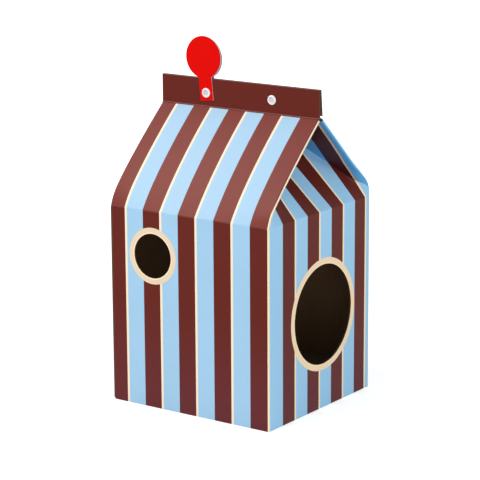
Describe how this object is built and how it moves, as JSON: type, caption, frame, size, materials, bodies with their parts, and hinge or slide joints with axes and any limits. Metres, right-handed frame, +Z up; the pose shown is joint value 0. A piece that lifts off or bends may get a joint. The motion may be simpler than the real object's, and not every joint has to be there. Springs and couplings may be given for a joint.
{
  "type": "cardboard cat house",
  "caption": "Gable-top carton-shaped cardboard cat house with round door and window, opening top, snap rivets, swivel tags and loose scratch pad.",
  "frame": {"origin": "centre of the carton's bottom, on the floor", "axes": "+Z up, X along the ridge with the round door in the wall at +X, the small round window in the wall at -Y"},
  "size_m": [0.38, 0.36, 0.7265],
  "materials": {
    "side_print": "satin laminated print, brown, cream and pale blue stripes",
    "end_print": "satin laminated print, brown, cream and pale blue stripes",
    "roof_print": "satin laminated print, brown, cream and pale blue stripes",
    "return_print": "satin laminated print, brown, cream and pale blue stripes",
    "fin_print": "satin laminated brown print",
    "kraft": "matt raw kraft board",
    "tag_card": "glossy red card",
    "white_plastic": "satin white moulded plastic",
    "corrugated_pad": "raw corrugated edges"
  },
  "bodies": {
    "carton": {"front_wall": "side_print", "back_wall": "side_print", "door_wall": "end_print", "left_wall": "end_print", "glue_flap": "kraft", "front_bottom_flap": "kraft", "back_bottom_flap": "kraft", "left_bottom_flap": "kraft", "right_bottom_flap": "kraft"},
    "front_roof_body": {"front_roof": "roof_print"},
    "back_roof_body": {"back_roof": "roof_print"},
    "front_fin_body": {"front_fin": "fin_print"},
    "back_fin_body": {"back_fin": "fin_print"},
    "left_gusset_body": {"left_gusset": "end_print"},
    "right_gusset_body": {"right_gusset": "end_print"},
    "front_left_return_body": {"front_left_return": "return_print"},
    "front_right_return_body": {"front_right_return": "return_print"},
    "back_left_return_body": {"back_left_return": "return_print"},
    "back_right_return_body": {"back_right_return": "return_print"},
    "left_pin_body": {"left_rivet_pin": "white_plastic"},
    "right_pin_body": {"right_rivet_pin": "white_plastic"},
    "left_socket_body": {"left_rivet_socket": "white_plastic"},
    "right_socket_body": {"right_rivet_socket": "white_plastic"},
    "front_tag_body": {"front_tag": "tag_card"},
    "back_tag_body": {"back_tag": "tag_card"},
    "scratch_pad_body": {"scratch_pad": "corrugated_pad"}
  },
  "joints": [
    {"name": "front_roof_fold", "type": "hinge", "parent": "carton", "child": "front_roof_body", "pos_m": [0, -0.18, 0.402], "axis": [1, 0, 0], "range_deg": [0, 40]},
    {"name": "back_roof_fold", "type": "hinge", "parent": "carton", "child": "back_roof_body", "pos_m": [0, 0.18, 0.402], "axis": [-1, 0, 0], "range_deg": [0, 40]},
    {"name": "front_fin_fold", "type": "hinge", "parent": "front_roof_body", "child": "front_fin_body", "pos_m": [0, -0.006, 0.586], "axis": [-1, 0, 0], "range_deg": [0, 40]},
    {"name": "back_fin_fold", "type": "hinge", "parent": "back_roof_body", "child": "back_fin_body", "pos_m": [0, 0.006, 0.586], "axis": [1, 0, 0], "range_deg": [0, 40]},
    {"name": "left_gusset_fold", "type": "hinge", "parent": "carton", "child": "left_gusset_body", "pos_m": [-0.187, 0, 0.402], "axis": [0, -1, 0], "range_deg": [0, 20]},
    {"name": "right_gusset_fold", "type": "hinge", "parent": "carton", "child": "right_gusset_body", "pos_m": [0.187, 0, 0.402], "axis": [0, 1, 0], "range_deg": [0, 20]},
    {"name": "front_left_return_fold", "type": "hinge", "parent": "front_roof_body", "child": "front_left_return_body", "pos_m": [-0.1897, -0.17793, 0.41733], "axis": [0, 0.7225, 0.6914], "range_deg": [0, 54]},
    {"name": "front_right_return_fold", "type": "hinge", "parent": "front_roof_body", "child": "front_right_return_body", "pos_m": [0.1897, -0.17793, 0.41733], "axis": [0, -0.7225, -0.6914], "range_deg": [0, 54]},
    {"name": "back_left_return_fold", "type": "hinge", "parent": "back_roof_body", "child": "back_left_return_body", "pos_m": [-0.1897, 0.17793, 0.41733], "axis": [0, 0.7225, -0.6914], "range_deg": [0, 54]},
    {"name": "back_right_return_fold", "type": "hinge", "parent": "back_roof_body", "child": "back_right_return_body", "pos_m": [0.1897, 0.17793, 0.41733], "axis": [0, -0.7225, 0.6914], "range_deg": [0, 54]},
    {"name": "front_tag_swivel", "type": "hinge", "parent": "front_fin_body", "child": "front_tag_body", "pos_m": [-0.079, -0.0068, 0.613], "axis": [0, 1, 0], "range_deg": [-64, 75]},
    {"name": "back_tag_swivel", "type": "hinge", "parent": "back_fin_body", "child": "back_tag_body", "pos_m": [-0.079, 0.00444, 0.613], "axis": [0, 0.9962, 0.0872], "range_deg": [-64, 75]},
    {"name": "left_pin_pull", "type": "slide", "parent": "front_fin_body", "child": "left_pin_body", "axis": [0, -1, 0], "range_m": [0, 0.016]},
    {"name": "right_pin_pull", "type": "slide", "parent": "front_fin_body", "child": "right_pin_body", "axis": [0, -1, 0], "range_m": [0, 0.016]},
    {"name": "left_socket_pull", "type": "slide", "parent": "back_fin_body", "child": "left_socket_body", "axis": [0, 1, 0], "range_m": [0, 0.016]},
    {"name": "right_socket_pull", "type": "slide", "parent": "back_fin_body", "child": "right_socket_body", "axis": [0, 1, 0], "range_m": [0, 0.016]},
    {"name": "scratch_pad_lift", "type": "slide", "parent": "carton", "child": "scratch_pad_body", "axis": [0, 0, 1], "range_m": [0, 0.34]}
  ],
  "couplings": [
    {"joint": "back_roof_fold", "follows": "front_roof_fold", "ratio": 1},
    {"joint": "front_fin_fold", "follows": "front_roof_fold", "ratio": 1},
    {"joint": "back_fin_fold", "follows": "front_roof_fold", "ratio": 1},
    {"joint": "left_gusset_fold", "follows": "front_roof_fold", "ratio": 0.5},
    {"joint": "right_gusset_fold", "follows": "front_roof_fold", "ratio": 0.5},
    {"joint": "front_left_return_fold", "follows": "front_roof_fold", "ratio": 1.35},
    {"joint": "front_right_return_fold", "follows": "front_roof_fold", "ratio": 1.35},
    {"joint": "back_left_return_fold", "follows": "front_roof_fold", "ratio": 1.35},
    {"joint": "back_right_return_fold", "follows": "front_roof_fold", "ratio": 1.35}
  ]
}
